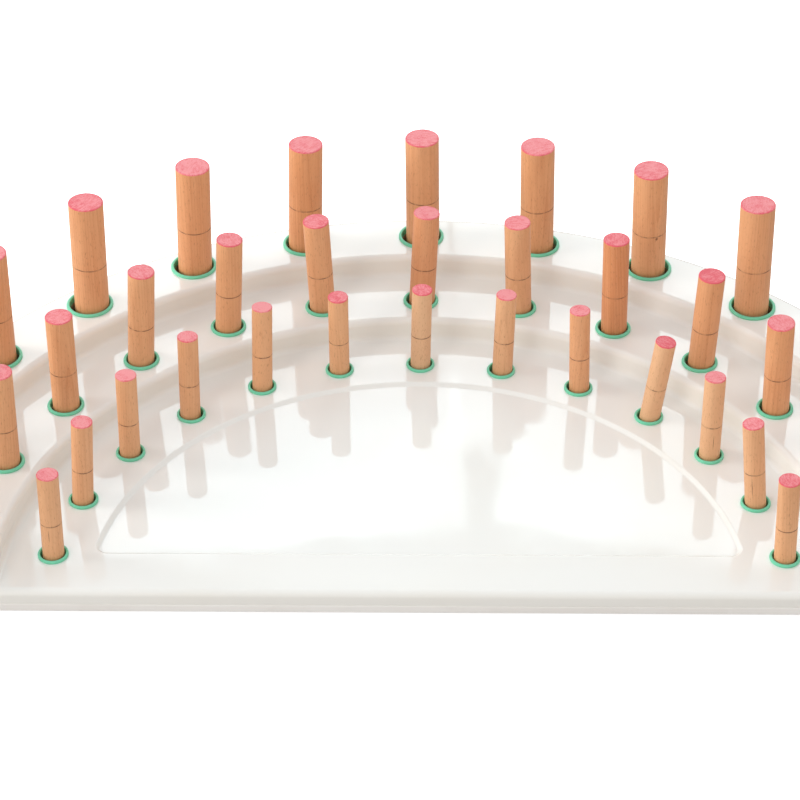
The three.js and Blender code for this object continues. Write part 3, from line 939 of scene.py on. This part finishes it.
@dataclass
class Pegs:
    """The loose beech pegs of one row, each a little different."""

    plan: RowPlan
    seed: int
    tone: tuple[float, float, float]
    tones: Mapping[int, tuple[float, float, float]] = field(default_factory=dict)
    marks: Mapping[int, Mark] = field(default_factory=dict)
    coats: Mapping[int, float] = field(default_factory=dict)
    coat: float = 0.45
    tone_spread: float = 0.16
    pith_distance: tuple[float, float] = (14.0 * MM, 45.0 * MM)
    taper: float = 0.05
    end_round: float = 0.6 * MM
    foot_chamfer: float = 0.9 * MM
    score_depth: float = 0.28 * MM
    score_width: float = 0.45 * MM
    facet_depth: float = 0.013
    sides: int = 96

    def _levels(self) -> np.ndarray:
        """Lays out the peg's levels as share of the radius and height."""
        length, radius = self.plan.size.peg_length, self.plan.size.peg_radius
        middle, width = length / 2.0, self.score_width
        chamfer, groove, ease = self.foot_chamfer / radius, self.score_depth / radius, self.end_round / radius
        levels = [(0.3, 0.0), (0.8, 0.0), (1.0 - chamfer, 0.0), (1.0, self.foot_chamfer)]
        levels += [(1.0, share * length) for share in (0.1, 0.2, 0.3, 0.4)]
        levels += [(1.0, middle - width * k) for k in (4.0, 2.0, 1.0, 0.4)]
        levels.append((1.0 - groove, middle))
        levels += [(1.0, middle + width * k) for k in (0.4, 1.0, 2.0, 4.0)]
        levels += [(1.0, share * length) for share in (0.6, 0.7, 0.8, 0.9)]
        for angle in np.linspace(0.0, 0.5 * math.pi, 6):
            levels.append((1.0 - ease * (1 - math.cos(angle)), length - self.end_round * (1 - math.sin(angle))))
        levels += [(share, length) for share in (0.9, 0.8, 0.6, 0.4, 0.2, 0.05)]
        return np.array(levels)

    def _facets(self, angles: np.ndarray, dice: random.Random) -> np.ndarray:
        """Returns the share of the radius round a peg that was planed before it was sanded."""
        lobes = dice.choice((9, 10, 11, 12, 14))
        spin = dice.uniform(0.0, 2.0 * math.pi)
        fade = dice.uniform(0.2, 1.0) * (0.5 + 0.5 * np.sin(2.0 * angles + spin))
        return 1.0 - self.facet_depth * fade * (0.5 + 0.5 * np.cos(lobes * (angles + spin)))

    def _peg(self, socket: Socket, dice: random.Random) -> bpy.types.Object:
        """Builds one peg where it stands in its socket."""
        radius, length = self.plan.size.peg_radius, self.plan.size.peg_length
        levels = self._levels()
        angles = np.linspace(0.0, 2.0 * math.pi, self.sides, endpoint=False)
        shares = levels[:, None, 0] * self._facets(angles, dice)[None, :]
        rise = np.broadcast_to(levels[:, None, 1], shares.shape)
        reach = shares * radius
        local = np.stack([reach * np.cos(angles), reach * np.sin(angles), rise], axis=-1)
        lean = np.array(Vector((0.0, 0.0, 1.0)).rotation_difference(socket.axis).to_matrix())
        peg = loft(socket.name + "_beech", local @ lean.T + np.array(socket.foot))
        timber = self._timber(local.reshape(-1, 3), dice)
        vector_attribute(peg, "timber", timber)
        over_line = (rise - length / 2.0) / MM
        share = np.broadcast_to(levels[:, None, 0], shares.shape)
        vector_attribute(peg, "gauge", np.stack([share, over_line, (length - rise) / MM], axis=-1))
        vector_attribute(peg, "blemish", self._blemish(socket.number, angles, over_line))
        drawn = [share + dice.uniform(-self.tone_spread, self.tone_spread) for share in self.tone]
        tone = self.tones.get(socket.number, tuple(drawn))
        vector_attribute(peg, "tone", np.tile(np.clip(tone, 0.0, 1.0), (len(timber), 1)))
        coat = self.coats.get(socket.number, self.coat + dice.uniform(-self.tone_spread, self.tone_spread))
        vector_attribute(peg, "coat", np.full((len(timber), 3), coat))
        return peg

    def _blemish(self, number: int, angles: np.ndarray, over_line: np.ndarray) -> np.ndarray:
        """Returns each point's place across and along the peg's crack or knot, and its side of the peg."""
        mark = self.marks.get(number, NO_MARK)
        away = angles - math.radians(mark.turn)
        across = np.broadcast_to(np.sin(away) * self.plan.size.peg_radius / MM / mark.width, over_line.shape)
        side = np.broadcast_to(np.cos(away), over_line.shape)
        return np.stack([across, (over_line - mark.rise) / mark.length, side], axis=-1)

    def _timber(self, local: np.ndarray, dice: random.Random) -> np.ndarray:
        """Picks where in a trunk the peg was sawn, and returns its points from the middle of that trunk."""
        pith = dice.uniform(*self.pith_distance)
        taper = dice.uniform(-1.0, 1.0) * self.taper
        turn = np.array(Matrix.Rotation(dice.uniform(0.0, 2.0 * math.pi), 3, "Z"))
        sawn = local @ turn.T
        sawn[:, 0] += pith + taper * sawn[:, 2]
        sawn[:, 2] += dice.uniform(-1.0, 1.0)
        return sawn

    def build(self, material: bpy.types.Material) -> list[bpy.types.Object]:
        """Builds the row's pegs and puts each on its own body."""
        dice = random.Random(self.seed)
        pegs = []
        for socket in self.plan.sockets:
            peg = self._peg(socket, dice)
            place_on(peg, material, socket.name, socket.name)
            pegs.append(peg)
        return pegs


@dataclass
class Underside:
    """Feet and screws under the base board, and the wooden core inside."""

    sides: int = 48

    def build(self, rubber: bpy.types.Material, zinc: bpy.types.Material, ply: bpy.types.Material) -> None:
        """Builds the feet and screws, and gives the core its finish."""
        for name in sorted(frame["nodes"]):
            if name.startswith("foot_"):
                place_on(self._foot(name), rubber, name)
            elif name.startswith("base_screw_"):
                place_on(self._screw(name), zinc, name)
            elif name.endswith("_core") or name == "front_rail":
                dress(frame["nodes"][name], ply)

    def _foot(self, name: str) -> bpy.types.Object:
        """Builds one low foot with a rounded edge and a dished face."""
        low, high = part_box(name)
        at = Vector(((low.x + high.x) / 2, (low.y + high.y) / 2, low.z))
        radius, height = (high.x - low.x) / 2.0, high.z - low.z
        edge = 0.5 * height
        turn = np.linspace(0.0, 0.5 * math.pi, 5)
        profile = [(radius * share, 0.15 * height * (1.0 - share)) for share in (0.1, 0.4, 0.7)]
        profile += [(radius - edge + edge * math.sin(a), edge * (1 - math.cos(a))) for a in turn]
        profile += [(radius, height), (radius * 0.5, height)]
        foot = turned(name + "_pad", profile, self.sides, at)
        polish(foot)
        return foot

    def _screw(self, name: str) -> bpy.types.Object:
        """Builds one countersunk screw, head down, with a cross recess and a thread."""
        low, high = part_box(name)
        head, length = (high.x - low.x) / 2.0, high.z - low.z
        at = Vector(((low.x + high.x) / 2, (low.y + high.y) / 2, low.z))
        shank = 0.42 * head
        profile = [(0.2 * head, 0.0), (0.93 * head, 0.0), (head, 0.06 * head), (head, 0.12 * head)]
        profile.append((shank, 0.65 * head))
        pitch, start = 0.55 * shank, 0.8 * head
        turns = int((length - start - 0.8 * head) / pitch)
        for i in range(turns):
            profile += [(0.72 * shank, start + i * pitch), (shank, start + (i + 0.5) * pitch)]
        profile += [(0.6 * shank, length - 0.5 * head), (0.05 * shank, length)]
        screw = turned(name + "_zinc", profile, self.sides, at)
        for quarter in (0.0, 0.5 * math.pi):
            carve(screw, self._blade(at, head, quarter), "DIFFERENCE")
        polish(screw)
        return screw

    def _blade(self, at: Vector, head: float, angle: float) -> bpy.types.Object:
        """Builds one bar of the cross recess as a cutter, narrower at its bottom."""
        loops = []
        for height, half, thick in ((-0.2, 0.55, 0.1), (0.45, 0.2, 0.06)):
            corners = [(-half, -thick), (half, -thick), (half, thick), (-half, thick)]
            spun = [head * (Matrix.Rotation(angle, 2) @ Vector(corner)) for corner in corners]
            loops.append([(at.x + corner.x, at.y + corner.y, at.z + height * head) for corner in spun])
        return loft("recess_blade", np.array(loops))


# ---- studio ----------------------------------------------------------------------------------------


@dataclass(frozen=True)
class Panel:
    """One rectangular soft light. Only a mirrored one shows in the gloss."""

    name: str
    place: tuple[float, float, float]
    width: float
    height: float
    brightness: float
    colour: Colour
    mirrored: bool = True
    target: tuple[float, float, float] = (0.0, 0.0, 0.03)


COOL = (0.80, 0.95, 1.0)
NEUTRAL = (1.0, 0.985, 0.96)

PANELS = (
    Panel("box_left", (-0.33, 2.0, 1.36), 0.76, 0.76, 2.6, COOL),
    Panel("box_right", (0.49, 2.0, 1.36), 0.66, 0.76, 2.6, COOL),
    Panel("box_join", (0.105, 2.05, 1.28), 0.115, 0.575, 2.6, COOL, target=(0.105, 0.05, -0.05)),
    Panel("side", (-2.8, 0.1, 0.95), 1.3, 1.3, 8.8, NEUTRAL, mirrored=False),
    Panel("key", (-1.6, -2.2, 1.7), 0.9, 0.9, 5.0, NEUTRAL, mirrored=False),
)


@dataclass
class Studio:
    """Camera, floor and lights."""

    lens: float = 117.7
    heading: float = math.radians(-0.825)
    elevation: float = math.radians(36.848)
    roll: float = math.radians(-0.242)
    stand: tuple[float, float, float] = (0.0083, -1.7002, 1.3046)
    floor_radius: float = 14.0
    floor_bounce: float = 0.55
    floor_glow: float = 0.62
    fill: float = 1.015
    fill_low: Colour = (1.0, 0.83, 0.67)
    fill_high: Colour = (0.75, 0.79, 0.82)
    panels: tuple[Panel, ...] = PANELS

    def camera(self) -> None:
        """Sets up the camera."""
        data = bpy.data.cameras.new("camera")
        data.lens, data.sensor_width = self.lens, 36.0
        data.clip_start, data.clip_end = 0.05, 60.0
        camera = bpy.data.objects.new("camera", data)
        bpy.context.scene.collection.objects.link(camera)
        flat = math.cos(self.elevation)
        across, along = math.sin(self.heading) * flat, math.cos(self.heading) * flat
        ahead = Vector((across, along, -math.sin(self.elevation)))
        right = ahead.cross(Vector((0.0, 0.0, 1.0))).normalized()
        up = right.cross(ahead)
        level = Matrix((right, up, -ahead)).transposed()
        tilted = level @ Matrix.Rotation(self.roll, 3, "Z")
        camera.matrix_world = Matrix.Translation(self.stand) @ tilted.to_4x4()
        bpy.context.scene.camera = camera

    def floor(self) -> None:
        """Lays a white floor, which throws back less light than it shows."""
        material = bpy.data.materials.new("studio_floor")
        material.use_nodes = True
        material.node_tree.nodes.clear()
        graph = Graph(material.node_tree)
        white = (1.0, 1.0, 1.0, 1.0)
        paper = graph.add("BsdfDiffuse", {"Color": (self.floor_bounce,) * 3 + (1.0,)})
        bright = graph.add("BsdfDiffuse", {"Color": white})
        glow = graph.add("Emission", {"Color": white, "Strength": self.floor_glow})
        shown = graph.add("AddShader", {0: bright.outputs[0], 1: glow.outputs[0]})
        seen = graph.add("LightPath").outputs["Is Camera Ray"]
        either = graph.add("MixShader", {0: seen, 1: paper.outputs[0], 2: shown.outputs[0]})
        graph.add("OutputMaterial", {"Surface": either.outputs[0]})
        edge = [(self.floor_radius, -0.02), (self.floor_radius, 0.0)]
        floor = turned("studio_floor", edge, 96, Vector((0.0, 0.0, -0.05 * MM)))
        dress(floor, material)

    def lights(self) -> None:
        """Lights the board with a warm fill, a key from the front left and cool soft boxes behind."""
        world = bpy.data.worlds.new("studio_world")
        bpy.context.scene.world = world
        world.use_nodes = True
        world.node_tree.nodes.clear()
        graph = Graph(world.node_tree)
        up = graph.add("SeparateXYZ", {0: graph.add("TexCoord").outputs["Generated"]}).outputs["Z"]
        sky = graph.mix(graph.span(up, -0.05, 0.8), self.fill_low, self.fill_high)
        background = graph.add("Background", {"Color": sky, "Strength": self.fill})
        graph.add("OutputWorld", {"Surface": background.outputs[0]})
        for panel in self.panels:
            self._hang(panel)

    def _hang(self, panel: Panel) -> None:
        """Hangs one soft light, aimed at its target. Its brightness doesn't depend on its size."""
        data = bpy.data.lights.new(panel.name, "AREA")
        data.shape, data.size, data.size_y = "RECTANGLE", panel.width, panel.height
        data.energy = panel.brightness * math.pi * panel.width * panel.height
        data.color = panel.colour
        lamp = bpy.data.objects.new(panel.name, data)
        bpy.context.scene.collection.objects.link(lamp)
        lamp.location = panel.place
        lamp.rotation_mode = "QUATERNION"
        lamp.rotation_quaternion = (Vector(panel.target) - Vector(panel.place)).to_track_quat("-Z", "Y")
        lamp.visible_camera = False
        lamp.visible_glossy = panel.mirrored


def peg_rows(plan: BoardPlan) -> list[Pegs]:
    """Describes the pegs of each row: the small ones palest, the large ones reddest."""
    small = Pegs(plan.rows[Row.SMALL], 11, (0.2, 0.05, 0.35))
    medium = Pegs(plan.rows[Row.MEDIUM], 12, (0.3, 0.12, 0.25))
    large = Pegs(plan.rows[Row.LARGE], 13, (0.36, 0.2, 0.15))
    small.tones = {7: (0.35, 0.0, 0.9), 9: (0.4, 0.2, 0.2), 10: (0.1, 0.0, 0.75), 11: (0.05, 0.0, 0.6)}
    medium.tones = {7: (0.5, 0.45, 0.2), 9: (0.7, 0.35, 0.0)}
    small.coats = {3: 0.1, 5: 0.1, 6: 0.7, 7: 0.7, 8: 0.2, 10: 0.95, 11: 0.35}
    medium.coats = {6: 0.6, 7: 0.35, 9: 0.75, 10: 1.0}
    small.marks = {
        1: Mark(262.0, -9.0, 0.3, 7.0),
        11: Mark(280.0, -14.0, 0.3, 9.0),
        12: Mark(250.0, -12.0, 0.35, 13.0),
    }
    large.marks = {9: Mark(292.0, -2.0, 1.5, 1.8)}
    return [small, medium, large]


def main() -> None:
    """Builds every sub-assembly in turn."""
    logging.basicConfig(level=logging.INFO, format="%(name)s: %(message)s")
    bpy.context.scene.view_settings.view_transform = "Standard"
    studio = Studio()
    studio.camera()
    studio.floor()
    studio.lights()
    build_effects()
    plan = BoardPlan()
    mint = SoftRubber("mint_rubber", (0.17, 0.66, 0.43), (0.26, 0.72, 0.52), 0.3).material()
    black = SoftRubber("black_rubber", (0.03, 0.03, 0.032), (0.07, 0.07, 0.072), 0.6).material()
    tray = Tray(plan).build(GlossWhite().material())
    LOG.info("%s has %d faces", tray.name, len(tray.data.polygons))
    base = Base(plan).build(SatinEdge().material())
    LOG.info("%s has %d faces", base.name, len(base.data.polygons))
    beech = Beech().material()
    for pegs in peg_rows(plan):
        rings = Grommets(pegs.plan).build(mint)
        made = pegs.build(beech)
        LOG.info("%s row has %d grommets and %d pegs", pegs.plan.row.value, len(rings), len(made))
    Underside().build(black, Zinc().material(), Plywood().material())
    LOG.info("feet, screws and core are dressed")


if __name__ == "__main__":
    main()
